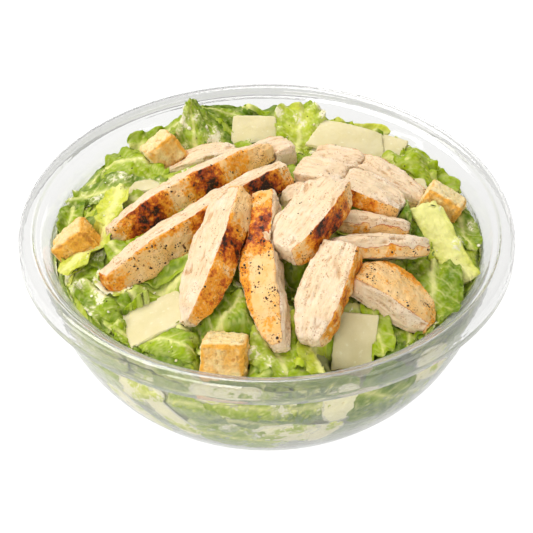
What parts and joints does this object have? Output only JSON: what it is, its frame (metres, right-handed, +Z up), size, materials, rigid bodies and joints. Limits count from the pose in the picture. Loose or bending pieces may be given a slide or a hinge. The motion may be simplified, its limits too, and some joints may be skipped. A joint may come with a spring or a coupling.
{
  "type": "chicken caesar salad in a clear bowl",
  "caption": "Chicken caesar salad in a clear plastic bowl: sliced grilled chicken, croutons and shaved hard cheese on dressed lettuce.",
  "frame": {"origin": "middle of the bowl's flat base, on the surface that it stands on", "axes": "+Z up out of the bowl; -Y is the front of the dish, where the square crouton lies against the wall; +X is to the right as seen from the front"},
  "size_m": [0.185, 0.185, 0.0936],
  "materials": {
    "clear_plastic": "clear, glossy, thin moulded sheet",
    "grilled_chicken": "cooked meat: pale moist cut faces, golden seared edges with dark char and pepper",
    "toasted_bread": "dry, porous, golden",
    "hard_cheese": "waxy, pale yellow, slightly translucent",
    "dressed_lettuce": "fresh leaf, bright to dark green, glossy with a creamy dressing"
  },
  "bodies": {
    "root": {"bowl": "clear_plastic", "chicken_top": "grilled_chicken", "chicken_front_left": "grilled_chicken", "chicken_front_middle": "grilled_chicken", "chicken_front_right": "grilled_chicken", "chicken_right_lower": "grilled_chicken", "chicken_front_long": "grilled_chicken", "chicken_left_long": "grilled_chicken", "chicken_middle_back": "grilled_chicken", "chicken_right_upper": "grilled_chicken", "chicken_right_middle": "grilled_chicken", "chicken_inner": "grilled_chicken", "chicken_right_front": "grilled_chicken", "chicken_back_short": "grilled_chicken", "chicken_back_right": "grilled_chicken", "chicken_back_end": "grilled_chicken", "chicken_left_back": "grilled_chicken", "crouton_back_left": "toasted_bread", "crouton_left": "toasted_bread", "crouton_right": "toasted_bread", "crouton_front": "toasted_bread", "crouton_sunk": "toasted_bread", "cheese_front_left": "hard_cheese", "cheese_front_right": "hard_cheese", "cheese_back": "hard_cheese", "cheese_back_right": "hard_cheese", "cheese_back_edge": "hard_cheese", "cheese_left": "hard_cheese", "cheese_right": "hard_cheese", "salad": "dressed_lettuce"}
  },
  "joints": []
}
